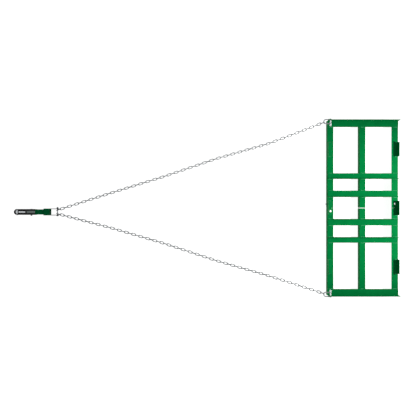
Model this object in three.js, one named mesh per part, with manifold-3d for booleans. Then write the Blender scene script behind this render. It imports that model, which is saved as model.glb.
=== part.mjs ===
// Driveway drag: a ladder frame of angle iron in two bolted halves, pulled on a bridle of two
// chains that meet at a tongue with a ball coupler. Millimetres, +Z up. The tow direction is -X,
// the right half lies on +Y. The frame stands on the lower edges of its three blades.
import * as THREE from "three";
import { mergeVertices } from "three/addons/utils/BufferGeometryUtils.js";
import Module from "manifold-3d";

const wasm = await Module();
wasm.setup();

// Driving dimensions
const overallLength = 3692; // coupler tip to the end of the rear bolt
const frameWidth = 1676; // over the side rails
const frameDepth = 676; // front blade to rear edge
const wall = 5; // wall of every angle iron
const seat = 0.3; // gap that pieces lying on each other keep
const overrun = 4; // how far a cutting tool runs past the face it cuts
const seamGap = 4; // between the halves of the middle bar
const buttGap = 1; // where the halves of the front and rear bars meet

const bladeHeight = 56; // legs that stand on the ground
const bladeFlange = 56; // front and middle bars
const rearFlange = 63;
const middleSetback = 307; // front edge of the middle bar behind that of the front bar
const railFlange = 63;
const railLeg = 63;
const innerFlange = 63;
const innerLeg = 50;
const innerOffset = 104; // near edge of an inner bar from the centre line
const outerFlange = 56;
const outerLeg = 50;
const outerOffset = 277;
const barEndInset = 3; // how far the lengthwise bars stop short of the blade edges

const lugSize = 38;
const lugWall = 4;
const lugLength = 138;
const lugOffset = 561; // middle of a lug from the centre line
const spliceHoleRadius = 10;
const spliceHoleInset = 29; // from the outer edge of the bar
const frontHoleOffset = 30;
const rearHoleOffset = 41;

const strapLength = 140;
const strapHeight = 38;
const strapWall = 6;
const strapBoltOffset = 38;
const strapBoltDrop = 28; // bolt axis below the flange top
const strapBoltRadius = 5;
const frontThread = 4; // thread showing past the nut of the front strap bolt
const rearThread = 1;
const boltClearance = 0.5;
const nutHeightShare = 1.6; // of the bolt's radius
const headHeightShare = 1.3;
const hexagonShare = 1.8; // corner radius of a head or nut

const shackleWire = 10;
const shackleReach = 63; // pin axis to the middle of the crown wire
const shackleMouth = 30; // between the arms
const shackleEyeRadius = 10.5;
const shackleTilt = 20; // degrees below level, as it lies
const shackleSlip = 20; // degrees off the crown where the chain rides on the bow
const pinRadius = 6.5;
const pinSetback = 18; // pin hole behind the front end of the rail
const pinHeight = 34; // pin hole above the rail flange
const pinHoleRadius = 7.5;
const pinCollarRadius = 9;
const pinCollarLength = 4.5;
const pinHeadRadius = 9;
const pinHeadWall = 5;
const pinHeadEye = 3.5;

const linkWire = 7.2;
const linkInnerWidth = 14.4;
const linksPerZone = 15;
const zones = 5;
const linkBite = 0.4; // how far joined links sink into each other
const linkGap = 0.6; // between links of two zones

const hitchOffset = -38; // the tongue lies a little to the left of the centre line
const chainSpread = 16; // end links from the middle of the clevis bolt
const clevisHeight = 33;
const clevisBoltRadius = 6;
const tabWall = 6;
const tabHeight = 36;
const tabBoltSetback = 71; // bolt axis behind the sleeve
const clevisThread = 6;

const tubeSize = 50;
const tubeWall = 4;
const sleeveSize = 66;
const sleeveLength = 54;
const tubeClearance = 0.5;
const couplerLength = 203;
const couplerWall = 2.6;
const tubeShowing = 84; // between the coupler and the sleeve
const tubeSetback = 26; // tube end behind the clamp
const couplerBoltRadius = 5;
const couplerBoltShare = 0.79; // along the coupler from its tip
const roundHeadRadius = 9;
const roundHeadHeight = 3;
const ballRadius = 25.4;
const ballClearance = 0.6;
const ballSetback = 31; // ball centre behind the tip
const ballHeight = 29;
const socketWall = 2.6;

const leverWidth = 14;
const leverWall = 4;
const leverNoseWidth = 28;
const leverNoseReach = 12; // in front of the pivot
const gripWidth = 19;
const gripDepth = 9;
const gripLength = 72;
const leverPivotSetback = 38; // pivot behind the tip
const leverPivotHeight = 14; // above the housing's top
const leverBarrelRadius = 6;
const latchPinRadius = 3;
const latchPinHead = 5;
const earWall = 3;
const earRadius = 8;
const clampBoltRadius = 4;
const clampWall = 12;
const clampWidth = 30;
const clampFootReach = 16; // foot of the clamp behind the ball centre
const clampFootHeight = 12; // above the ground
const clampFootDrop = 6; // top of the foot below the ball centre
const clampStemHeight = 34;
const clampTravel = 5;
const clampGap = 1.2; // between the clamp and the ball

// Places that follow from the sizes
const rearBoltReach = nutHeightShare * strapBoltRadius + rearThread + 2 * seat;
const rearX = overallLength / 2 - rearBoltReach;
const tipX = -overallLength / 2;
const frontX = rearX - frameDepth;
const halfWidth = frameWidth / 2;
const deck = bladeHeight + seat; // what lies on the blades starts here
const pinX = frontX + pinSetback;
const pinZ = deck + wall + pinHeight;
const shackleY = halfWidth + seat - shackleMouth / 2;
const tilt = (shackleTilt * Math.PI) / 180;
const slip = (shackleSlip * Math.PI) / 180;
const shackleBowRadius = (shackleMouth + shackleWire) / 2;
const rideRadius = shackleBowRadius - shackleWire / 2 - 2 * linkGap;
const rideReach = shackleReach - shackleBowRadius + rideRadius * Math.cos(slip);
const chainX = pinX - rideReach * Math.cos(tilt);
const chainY = shackleY - rideRadius * Math.sin(slip);
const chainZ = pinZ - rideReach * Math.sin(tilt);
const linkRadius = (linkInnerWidth + linkWire) / 2;
const chainRest = linkRadius + linkWire / 2; // middle of a chain that lies on the ground
const couplerEndX = tipX + couplerLength;
const sleeveFrontX = couplerEndX + tubeShowing;
const sleeveEndX = sleeveFrontX + sleeveLength;
const clevisX = sleeveEndX + tabBoltSetback;
const couplerWidth = tubeSize + 2 * (tubeClearance + couplerWall);
const housingTop = clevisHeight + tubeSize / 2 + tubeClearance + couplerWall;

// Finishes
function finish(color, metalness, roughness) {
  return () => new THREE.MeshStandardMaterial({ color, metalness, roughness });
}
const greenPaint = finish("#03703a", 0.1, 0.45);
const darkGreenPaint = finish("#02452a", 0.1, 0.5);
const blackPaint = finish("#1c201f", 0.1, 0.5);
const zincPlate = finish("#b4b6b6", 0.9, 0.35);

const drag = new THREE.Group();
drag.name = "driveway_drag";

function addPiece(name, geometry, material, place = drag) {
  const mesh = new THREE.Mesh(geometry, material());
  mesh.name = name;
  place.add(mesh);
  return mesh;
}

// A closed geometry as a solid, and a solid as a geometry
function solidOf(geometry) {
  const bare = geometry.clone();
  bare.deleteAttribute("normal");
  bare.deleteAttribute("uv");
  const merged = mergeVertices(bare.index ? bare.toNonIndexed() : bare, 1e-4);
  return new wasm.Manifold(
    new wasm.Mesh({
      numProp: 3,
      vertProperties: merged.attributes.position.array,
      triVerts: new Uint32Array(merged.index.array),
    }),
  );
}

function geometryOf(solid) {
  const mesh = solid.getMesh();
  const geometry = new THREE.BufferGeometry();
  geometry.setAttribute("position", new THREE.BufferAttribute(mesh.vertProperties, 3));
  geometry.setIndex(new THREE.BufferAttribute(mesh.triVerts, 1));
  return geometry;
}

function join(...geometries) {
  return geometryOf(geometries.map(solidOf).reduce((all, next) => all.add(next)));
}

function cut(geometry, ...tools) {
  return geometryOf(tools.map(solidOf).reduce((all, next) => all.subtract(next), solidOf(geometry)));
}

// A box between two corners
function block(low, high) {
  const size = high.map((value, axis) => value - low[axis]);
  const middle = high.map((value, axis) => (value + low[axis]) / 2);
  return new THREE.BoxGeometry(...size).translate(...middle);
}

// A round bar along Y, X or Z whose middle is at the given place
function barAlongY(radius, length, place, sides = 12) {
  return new THREE.CylinderGeometry(radius, radius, length, sides).translate(...place);
}

function barAlongX(radius, length, place, sides = 12) {
  return new THREE.CylinderGeometry(radius, radius, length, sides)
    .rotateZ(Math.PI / 2)
    .translate(...place);
}

function barAlongZ(radius, length, place, sides = 12) {
  return new THREE.CylinderGeometry(radius, radius, length, sides)
    .rotateX(Math.PI / 2)
    .translate(...place);
}

// The outline of an angle iron: flange along +x from the heel, leg along +y, a round inner corner
function angleOutline(flange, leg, thickness) {
  const outline = new THREE.Shape();
  outline.moveTo(0, 0);
  outline.lineTo(flange, 0);
  outline.lineTo(flange, thickness);
  outline.lineTo(2 * thickness, thickness);
  outline.absarc(2 * thickness, 2 * thickness, thickness, -Math.PI / 2, -Math.PI, true);
  outline.lineTo(thickness, leg);
  outline.lineTo(0, leg);
  outline.closePath();
  return outline;
}

function angleGeometry(flange, leg, thickness, length) {
  const settings = { depth: length, bevelEnabled: false, curveSegments: 2 };
  return new THREE.ExtrudeGeometry(angleOutline(flange, leg, thickness), settings);
}

// An angle iron that lies across the frame: heel at the given edge, flange towards +X or -X,
// leg up or down, from lowY to highY
function crossAngle(flange, leg, thickness, heelX, heelZ, flangeWay, legWay, lowY, highY) {
  const geometry = angleGeometry(flange, leg, thickness, highY - lowY);
  // outline x to world X, outline y to world Z, extrusion to world Y
  const turn = new THREE.Matrix4().set(
    flangeWay, 0, 0, heelX,
    0, 0, 1, lowY,
    0, legWay, 0, heelZ,
    0, 0, 0, 1,
  );
  return facingOut(geometry.applyMatrix4(turn), turn);
}

// An angle iron that lies along the frame: heel at the given side, flange towards +Y or -Y
function longAngle(flange, leg, thickness, heelY, heelZ, flangeWay, lowX, highX) {
  const geometry = angleGeometry(flange, leg, thickness, highX - lowX);
  const turn = new THREE.Matrix4().set(
    0, 0, 1, lowX,
    flangeWay, 0, 0, heelY,
    0, 1, 0, heelZ,
    0, 0, 0, 1,
  );
  return facingOut(geometry.applyMatrix4(turn), turn);
}

// Turns the faces round where the placing mirrored them
function facingOut(geometry, turn) {
  if (turn.determinant() > 0) return geometry;
  const position = geometry.attributes.position;
  const turned = new Float32Array(position.array.length);
  for (let corner = 0; corner < position.count; corner += 3) {
    [0, 2, 1].forEach((from, to) => {
      for (let axis = 0; axis < 3; axis += 1) {
        turned[(corner + to) * 3 + axis] = position.array[(corner + from) * 3 + axis];
      }
    });
  }
  const result = new THREE.BufferGeometry();
  result.setAttribute("position", new THREE.BufferAttribute(turned, 3));
  return result;
}

const sides = [
  { name: "right", sign: 1 },
  { name: "left", sign: -1 },
];

// Frame bars across: each half ends at the seam and runs under the side rail
function addCrossBars({ name, sign }) {
  const ends = [sign * (buttGap / 2), sign * halfWidth].sort((a, b) => a - b);
  const middleEnds = [sign * (seamGap / 2), sign * halfWidth].sort((a, b) => a - b);
  const boltY = strapBoltOffset;
  const strapBoltZ = bladeHeight - strapBoltDrop;
  let front = crossAngle(
    bladeFlange, bladeHeight, wall, frontX, bladeHeight, 1, -1, ends[0], ends[1],
  );
  let rear = crossAngle(
    rearFlange, bladeHeight, wall, rearX, bladeHeight, -1, -1, ends[0], ends[1],
  );
  if (sign > 0) {
    const frontBoltPlace = [frontX, boltY, strapBoltZ];
    const rearBoltPlace = [rearX, boltY, strapBoltZ];
    const holeRadius = strapBoltRadius + boltClearance;
    const holeLength = 2 * (wall + overrun);
    const rearHole = [rearX - spliceHoleInset, rearHoleOffset, bladeHeight];
    front = cut(front, barAlongX(holeRadius, holeLength, frontBoltPlace));
    rear = cut(
      rear,
      barAlongX(holeRadius, holeLength, rearBoltPlace),
      barAlongZ(spliceHoleRadius, holeLength, rearHole),
    );
  } else {
    const frontHole = [frontX + spliceHoleInset, -frontHoleOffset, bladeHeight];
    front = cut(front, barAlongZ(spliceHoleRadius, 2 * (wall + overrun), frontHole));
  }
  addPiece("front_bar_" + name, front, greenPaint);
  const middleX = frontX + middleSetback;
  const middle = crossAngle(
    bladeFlange, bladeHeight, wall, middleX, bladeHeight, 1, -1, middleEnds[0], middleEnds[1],
  );
  addPiece("middle_bar_" + name, middle, greenPaint);
  addPiece("rear_bar_" + name, rear, greenPaint);
}

// Frame bars along: the side rail and two bars whose legs face the centre line
function addLongBars({ name, sign }) {
  const rail = longAngle(
    railFlange, railLeg, wall, sign * halfWidth, deck, -sign, frontX, rearX,
  );
  const pinHole = barAlongY(
    pinHoleRadius, 2 * (wall + overrun), [pinX, sign * halfWidth, pinZ],
  );
  addPiece("side_rail_" + name, cut(rail, pinHole), greenPaint);
  const lowX = frontX + barEndInset;
  const highX = rearX - barEndInset;
  const inner = longAngle(
    innerFlange, innerLeg, wall, sign * innerOffset, deck, sign, lowX, highX,
  );
  addPiece("inner_bar_" + name, inner, greenPaint);
  const outer = longAngle(
    outerFlange, outerLeg, wall, sign * outerOffset, deck, sign, lowX, highX,
  );
  addPiece("outer_bar_" + name, outer, greenPaint);
}

// Short upright angles: one splice over the seam and a lug on either side, front and rear
function shortAngle(heelX, flangeWay, middleY) {
  return crossAngle(
    lugSize, lugSize, lugWall, heelX, deck, flangeWay, 1,
    middleY - lugLength / 2, middleY + lugLength / 2,
  );
}

function addShortAngles() {
  const holeLength = 2 * (lugWall + overrun);
  const frontHole = [frontX + spliceHoleInset, -frontHoleOffset, deck];
  const rearHole = [rearX - spliceHoleInset, rearHoleOffset, deck];
  const frontSplice = cut(
    shortAngle(frontX, 1, 0), barAlongZ(spliceHoleRadius, holeLength, frontHole),
  );
  const rearSplice = cut(
    shortAngle(rearX, -1, 0), barAlongZ(spliceHoleRadius, holeLength, rearHole),
  );
  addPiece("front_splice", frontSplice, greenPaint);
  addPiece("rear_splice", rearSplice, darkGreenPaint);
  for (const { name, sign } of sides) {
    addPiece("front_lug_" + name, shortAngle(frontX, 1, sign * lugOffset), greenPaint);
    addPiece("rear_lug_" + name, shortAngle(rearX, -1, sign * lugOffset), darkGreenPaint);
  }
}

// A hexagon bolt along +x from the underside of its head, and its nut
function hexBolt(radius, grip, threadShowing) {
  const headHeight = headHeightShare * radius;
  const nutHeight = nutHeightShare * radius;
  const length = grip + nutHeight + threadShowing;
  const hexagonRadius = hexagonShare * radius;
  const head = barAlongX(hexagonRadius, headHeight, [-headHeight / 2, 0, 0], 6);
  const shank = barAlongX(radius, length + headHeight / 2, [(length - headHeight / 2) / 2, 0, 0]);
  const hole = barAlongX(radius + boltClearance / 2, nutHeight + 2 * overrun, [0, 0, 0]);
  const blank = barAlongX(hexagonRadius, nutHeight, [0, 0, 0], 6);
  const nut = cut(blank, hole).translate(grip + seat + nutHeight / 2, 0, 0);
  return { bolt: join(head, shank), nut };
}

// A bolt like it, with a low round head
function roundBoltAlongX(radius, grip, threadShowing) {
  const { nut } = hexBolt(radius, grip, threadShowing);
  const length = grip + nutHeightShare * radius + threadShowing;
  const head = barAlongX(roundHeadRadius, roundHeadHeight, [-roundHeadHeight / 2, 0, 0]);
  const shank = barAlongX(
    radius, length + roundHeadHeight / 2, [(length - roundHeadHeight / 2) / 2, 0, 0],
  );
  return { bolt: join(head, shank), nut };
}

function addBolt(boltName, nutName, radius, grip, place, turnZ, threadShowing, group = drag) {
  const { bolt, nut } = hexBolt(radius, grip, threadShowing);
  for (const [name, geometry] of [[boltName, bolt], [nutName, nut]]) {
    const mesh = addPiece(name, geometry, zincPlate, group);
    mesh.rotation.z = turnZ;
    mesh.position.set(...place);
  }
}

// Straps behind the blade legs, each bolted to the right half frame
function addStraps() {
  const top = bladeHeight - wall - seat;
  const boltZ = bladeHeight - strapBoltDrop;
  const holeRadius = strapBoltRadius + boltClearance;
  const grip = wall + seat + strapWall + 2 * seat;
  [
    { name: "front", faceX: frontX, way: 1, thread: frontThread },
    { name: "rear", faceX: rearX, way: -1, thread: rearThread },
  ].forEach(({ name, faceX, way, thread }) => {
    const near = faceX + way * (wall + seat);
    const far = near + way * strapWall;
    const low = [Math.min(near, far), -strapLength / 2, top - strapHeight];
    const high = [Math.max(near, far), strapLength / 2, top];
    const hole = barAlongX(
      holeRadius, strapWall + 2 * overrun, [(near + far) / 2, strapBoltOffset, boltZ],
    );
    const blank = block(low, high).translate(0, 0, -wall);
    addPiece(name + "_strap", cut(blank, hole), greenPaint);
    const headFace = far + way * seat;
    addBolt(
      name + "_strap_bolt", name + "_strap_nut", strapBoltRadius, grip,
      [headFace, strapBoltOffset, boltZ], way > 0 ? Math.PI : 0, thread,
    );
  });
}

// Tube along a list of points in one plane: a ring of the given section at each point
function sweep(points, section, closed) {
  const count = points.length;
  const rings = points.map((point, index) => {
    const before = points[closed ? (index + count - 1) % count : Math.max(index - 1, 0)];
    const after = points[closed ? (index + 1) % count : Math.min(index + 1, count - 1)];
    const arriving = point.clone().sub(before).normalize();
    const leaving = after.clone().sub(point).normalize();
    if (arriving.lengthSq() === 0) arriving.copy(leaving);
    if (leaving.lengthSq() === 0) leaving.copy(arriving);
    const along = arriving.clone().add(leaving).normalize();
    const miter = 1 / along.dot(leaving);
    const outward = new THREE.Vector2(along.y, -along.x).multiplyScalar(miter);
    return section.map(
      ([out, up]) => new THREE.Vector3(point.x + outward.x * out, point.y + outward.y * out, up),
    );
  });
  const position = [];
  const face = (...corners) => corners.forEach((corner) => position.push(...corner.toArray()));
  const size = section.length;
  const last = closed ? count : count - 1;
  for (let ring = 0; ring < last; ring += 1) {
    const here = rings[ring];
    const next = rings[(ring + 1) % count];
    for (let side = 0; side < size; side += 1) {
      const other = (side + 1) % size;
      face(here[side], next[side], next[other]);
      face(here[side], next[other], here[other]);
    }
  }
  if (!closed) {
    for (let side = 1; side < size - 1; side += 1) {
      face(rings[0][0], rings[0][side], rings[0][side + 1]);
      const end = rings[count - 1];
      face(end[0], end[side + 1], end[side]);
    }
  }
  const geometry = new THREE.BufferGeometry();
  geometry.setAttribute("position", new THREE.Float32BufferAttribute(position, 3));
  return geometry;
}

// The section of a wire: its corners lie on its circle, the first one faces outward
function wireSection(radius, count) {
  return Array.from({ length: count }, (unused, index) => {
    const angle = (index * 2 * Math.PI) / count;
    return [radius * Math.cos(angle), radius * Math.sin(angle)];
  });
}

// Anchor shackle: the bow lies along -x from the pin axis, the eyes either side of y = 0
function shackleBow() {
  const eyeY = shackleBowRadius;
  const arcX = shackleReach - shackleBowRadius;
  const points = [
    new THREE.Vector2(-shackleWire / 2, eyeY),
    new THREE.Vector2(-shackleEyeRadius, eyeY),
  ];
  const steps = 8;
  for (let step = 0; step <= steps; step += 1) {
    const angle = Math.PI * (0.5 - step / steps);
    points.push(
      new THREE.Vector2(
        -arcX - shackleBowRadius * Math.cos(angle), shackleBowRadius * Math.sin(angle),
      ),
    );
  }
  points.push(new THREE.Vector2(-shackleEyeRadius, -eyeY));
  points.push(new THREE.Vector2(-shackleWire / 2, -eyeY));
  const bow = sweep(points, wireSection(shackleWire / 2, 8), false);
  const eyes = [-eyeY, eyeY].map((y) => barAlongY(shackleEyeRadius, shackleWire, [0, y, 0]));
  const bore = barAlongY(
    pinRadius + boltClearance, shackleMouth + 2 * (shackleWire + overrun), [0, 0, 0],
  );
  return cut(join(bow, ...eyes), bore);
}

// Screw pin: shank through both eyes, collar and flat head with an eye on the inboard side
function shacklePin(sign) {
  const outside = shackleMouth / 2 + shackleWire;
  const shankEnd = outside + pinCollarLength / 2;
  const shank = barAlongY(pinRadius, outside + shankEnd, [0, (outside - shankEnd) / 2, 0]);
  const collarStart = outside + seat;
  const collar = barAlongY(
    pinCollarRadius, pinCollarLength, [0, -collarStart - pinCollarLength / 2, 0],
  );
  const headMiddle = -collarStart - pinCollarLength - 0.85 * pinHeadRadius;
  const head = barAlongZ(pinHeadRadius, pinHeadWall, [0, headMiddle, 0]);
  const eye = barAlongZ(pinHeadEye, pinHeadWall + overrun, [0, headMiddle, 0], 8);
  const pin = cut(join(shank, collar, head), eye);
  return sign > 0 ? pin : pin.rotateX(Math.PI);
}

function addShackles() {
  for (const { name, sign } of sides) {
    const place = new THREE.Group();
    place.position.set(pinX, sign * shackleY, pinZ);
    place.rotation.y = -tilt;
    drag.add(place);
    addPiece("shackle_bow_" + name, shackleBow(), zincPlate, place);
    addPiece("shackle_pin_" + name, shacklePin(sign), zincPlate, place);
  }
}

// One link along x, its inner ends at plus and minus half its inside length
function linkGeometry(inside, endSteps, sideCount) {
  const half = inside / 2 + linkWire / 2;
  const spread = linkRadius / Math.cos(Math.PI / (2 * endSteps));
  const arcX = half - linkRadius;
  const points = [];
  for (const end of [1, -1]) {
    for (let step = 0; step < endSteps; step += 1) {
      const angle = ((step + 0.5) / endSteps - 0.5) * Math.PI;
      points.push(
        new THREE.Vector2(end * (arcX + spread * Math.cos(angle)), end * spread * Math.sin(angle)),
      );
    }
  }
  return sweep(points, wireSection(linkWire / 2, sideCount), true);
}

// Where the zones of a chain begin and end: even steps from the shackle bow to the clevis bolt,
// bowed towards the centre line as the slack chain lies
const chainBows = {
  right: [0, 25, 5, 11, 2, 0],
  left: [0, 8, 3, 19, 16, 0],
};

function chainVertices({ name, sign }) {
  const endX = clevisX - clevisBoltRadius - seat;
  const startY = sign * chainY;
  const endY = hitchOffset + sign * chainSpread;
  const heights = [chainZ, chainRest, chainRest, chainRest, chainRest, clevisHeight];
  return heights.map((height, index) => {
    const share = index / zones;
    const x = chainX + (endX - chainX) * share;
    const y = startY + (endY - startY) * share - sign * chainBows[name][index];
    return new THREE.Vector3(x, y, height);
  });
}

function addChain(side) {
  const vertices = chainVertices(side);
  for (let zone = 0; zone < zones; zone += 1) {
    const from = vertices[zone];
    const to = vertices[zone + 1];
    const pitch = from.distanceTo(to) / linksPerZone;
    const heading = new THREE.Vector3().subVectors(to, from).normalize();
    const level = new THREE.Vector3(heading.y, -heading.x, 0).normalize();
    const upright = new THREE.Vector3().crossVectors(heading, level);
    const links = [];
    for (let index = 0; index < linksPerZone; index += 1) {
      const count = zone * linksPerZone + index;
      const stands = count % 2 === 0;
      const first = index === 0;
      const last = index === linksPerZone - 1;
      const lowTrim = first ? linkGap / 2 : -linkBite / 2;
      const highTrim = last ? linkGap / 2 : -linkBite / 2;
      const atEnd = count === 0 || count === zones * linksPerZone - 1;
      const rearTrim = count === 0 ? 0 : lowTrim;
      const frontTrim = count === zones * linksPerZone - 1 ? 0 : highTrim;
      const inside = pitch + rearTrim + frontTrim;
      const middle = (index + 0.5) * pitch + (frontTrim - rearTrim) / 2;
      const link = linkGeometry(inside, atEnd ? 6 : 4, 4);
      const across = stands ? upright : level;
      const normal = new THREE.Vector3().crossVectors(heading, across);
      const turn = new THREE.Matrix4().makeBasis(heading, across, normal);
      turn.setPosition(from.clone().addScaledVector(heading, middle));
      links.push(link.applyMatrix4(turn));
    }
    addPiece("chain_" + side.name + "_" + (zone + 1), join(...links), zincPlate);
  }
}

// Two flat tabs with round ends, welded to the end of the sleeve; they carry the chain bolt
function addClevis(tongue) {
  const startX = sleeveEndX + seat;
  const outline = new THREE.Shape();
  outline.moveTo(startX, -tabHeight / 2);
  outline.lineTo(clevisX, -tabHeight / 2);
  outline.absarc(clevisX, 0, tabHeight / 2, -Math.PI / 2, Math.PI / 2, false);
  outline.lineTo(startX, tabHeight / 2);
  outline.closePath();
  for (const { name, sign } of sides) {
    const blank = new THREE.ExtrudeGeometry(outline, {
      depth: tabWall, bevelEnabled: false, curveSegments: 6,
    });
    const middle = sign * (sleeveSize - tabWall) / 2;
    blank.rotateX(Math.PI / 2).translate(0, middle + tabWall / 2, 0);
    const bore = barAlongY(
      clevisBoltRadius + boltClearance, tabWall + 2 * overrun, [clevisX, middle, 0],
    );
    addPiece("clevis_tab_" + name, cut(blank, bore), zincPlate, tongue);
  }
  addBolt(
    "clevis_bolt", "clevis_nut", clevisBoltRadius, sleeveSize + 2 * seat,
    [clevisX, -sleeveSize / 2 - seat, 0], Math.PI / 2, clevisThread, tongue,
  );
}

// A square tube along X whose middle is at y = z = 0
function squareTube(size, thickness, lowX, highX) {
  const half = size / 2;
  const bore = half - thickness;
  const outside = block([lowX, -half, -half], [highX, half, half]);
  return cut(outside, block([lowX - overrun, -bore, -bore], [highX + overrun, bore, bore]));
}

// Tongue tube, and the short sleeve that is welded round its rear end
function addTube(tongue) {
  const sleeveWall = (sleeveSize - tubeSize) / 2 - tubeClearance;
  const sleeve = squareTube(sleeveSize, sleeveWall, sleeveFrontX, sleeveEndX);
  addPiece("receiver_sleeve", sleeve, darkGreenPaint, tongue);
  const tubeStartX = clampX + clampWall / 2 + tubeSetback;
  const hole = barAlongY(
    couplerBoltRadius + boltClearance, tubeSize + 2 * overrun, [couplerBoltX, 0, 0],
  );
  const tube = squareTube(tubeSize, tubeWall, tubeStartX, sleeveEndX - seat);
  addPiece("tongue_tube", cut(tube, hole), darkGreenPaint, tongue);
}

// The coupler's plan: parallel sides and a round nose
function couplerPlan(inset) {
  const half = couplerWidth / 2 - inset;
  const outline = new THREE.Shape();
  outline.moveTo(couplerEndX + inset, -half);
  outline.lineTo(couplerEndX + inset, half);
  outline.lineTo(tipX + couplerWidth / 2, half);
  outline.absarc(tipX + couplerWidth / 2, 0, half, Math.PI / 2, (3 * Math.PI) / 2, false);
  outline.closePath();
  return outline;
}

// Places inside the coupler, counted from the tongue's axis
const housingRoof = housingTop - clevisHeight;
const housingFoot = -clevisHeight;
const ballX = tipX + ballSetback;
const ballZ = ballHeight - clevisHeight;
const socketRadius = ballRadius + ballClearance;
const channelX = ballX + socketRadius + socketWall;
const clampX = channelX + seat + clampWall / 2;
const pivotX = tipX + leverPivotSetback;
const pivotZ = housingRoof + leverPivotHeight;
const couplerBoltX = tipX + couplerBoltShare * couplerLength;

// Coupler housing: an inverted channel with a ball socket in its nose and two ears for the latch
function housingGeometry() {
  const blank = new THREE.ExtrudeGeometry(couplerPlan(0), {
    depth: housingRoof - housingFoot, bevelEnabled: false, curveSegments: 8,
  }).translate(0, 0, housingFoot);
  const socket = new THREE.SphereGeometry(socketRadius, 16, 10)
    .rotateX(Math.PI / 2)
    .translate(ballX, 0, ballZ);
  const mouth = barAlongZ(socketRadius, 2 * socketRadius, [ballX, 0, ballZ - socketRadius], 16);
  const channelHalf = tubeSize / 2 + tubeClearance;
  const channel = block(
    [channelX, -channelHalf, housingFoot - overrun],
    [couplerEndX + overrun, channelHalf, channelHalf],
  );
  const footHalf = clampWidth / 2 + 2 * seat;
  const footWay = block(
    [ballX, -footHalf, housingFoot - overrun],
    [channelX + overrun, footHalf, ballZ - clampFootDrop + 2 * seat],
  );
  const ears = [-1, 1].map((sign) => {
    const y = sign * (couplerWidth / 2 - earWall / 2);
    const post = block(
      [pivotX - earRadius, y - earWall / 2, housingRoof - couplerWall / 2],
      [pivotX + earRadius, y + earWall / 2, pivotZ],
    );
    return join(post, barAlongY(earRadius, earWall, [pivotX, y, pivotZ]));
  });
  const pinBore = barAlongY(
    latchPinRadius + boltClearance / 2, couplerWidth + 2 * overrun, [pivotX, 0, pivotZ],
  );
  const boltBore = barAlongZ(
    clampBoltRadius + boltClearance, 4 * couplerWall, [clampX, 0, housingRoof],
  );
  const sideBore = barAlongY(
    couplerBoltRadius + boltClearance, couplerWidth + 2 * overrun, [couplerBoltX, 0, 0],
  );
  return cut(join(blank, ...ears), socket, mouth, channel, footWay, pinBore, boltBore, sideBore);
}

// Latch lever: a flat arm on a barrel that turns on the cross pin, with a short thumb plate in front
function leverGeometry() {
  const half = leverWidth / 2;
  const noseHalf = leverNoseWidth / 2;
  const arm = block(
    [pivotX, -half, pivotZ - leverWall / 2], [couplerEndX, half, pivotZ + leverWall / 2],
  );
  const nose = block(
    [pivotX - leverNoseReach, -noseHalf, pivotZ - leverWall / 2],
    [pivotX, noseHalf, pivotZ + leverWall / 2],
  );
  const barrel = barAlongY(leverBarrelRadius, leverNoseWidth, [pivotX, 0, pivotZ]);
  const bore = barAlongY(
    latchPinRadius + boltClearance / 2, leverNoseWidth + 2 * overrun, [pivotX, 0, pivotZ],
  );
  return cut(join(arm, nose, barrel), bore);
}

// Moulded grip pushed over the rear end of the lever's arm
function gripGeometry() {
  const startX = couplerEndX - gripLength;
  const outside = block(
    [startX, -gripWidth / 2, pivotZ - gripDepth / 2],
    [couplerEndX + seat + leverWall, gripWidth / 2, pivotZ + gripDepth / 2],
  );
  const socket = block(
    [startX - overrun, -leverWidth / 2 - seat, pivotZ - leverWall / 2 - seat],
    [couplerEndX + seat, leverWidth / 2 + seat, pivotZ + leverWall / 2 + seat],
  );
  return cut(outside, socket);
}

// Cross pin of the latch with a flat head at either end
function latchPinGeometry() {
  const headWall = latchPinRadius;
  const reach = couplerWidth / 2 + seat;
  const shank = barAlongY(latchPinRadius, 2 * reach + headWall, [pivotX, 0, pivotZ]);
  const heads = [-1, 1].map((sign) =>
    barAlongY(latchPinHead, headWall, [pivotX, sign * (reach + headWall / 2), pivotZ]),
  );
  return join(shank, ...heads);
}

// Ball clamp: a stem behind the socket and a foot that reaches under the ball, with its bolt
function clampGeometry() {
  const half = clampWidth / 2;
  const footZ = housingFoot + clampFootHeight;
  const stem = block(
    [clampX - clampWall / 2, -half, footZ],
    [clampX + clampWall / 2, half, footZ + clampStemHeight],
  );
  const foot = block(
    [ballX + clampFootReach, -half, footZ], [clampX, half, ballZ - clampFootDrop],
  );
  const ball = new THREE.SphereGeometry(ballRadius + clampGap, 16, 10)
    .rotateX(Math.PI / 2)
    .translate(ballX, 0, ballZ);
  const bore = barAlongZ(
    clampBoltRadius + boltClearance / 2, 2 * clampStemHeight, [clampX, 0, footZ],
  );
  return cut(join(stem, foot), ball, bore.translate(0, 0, clampStemHeight / 2));
}

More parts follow.
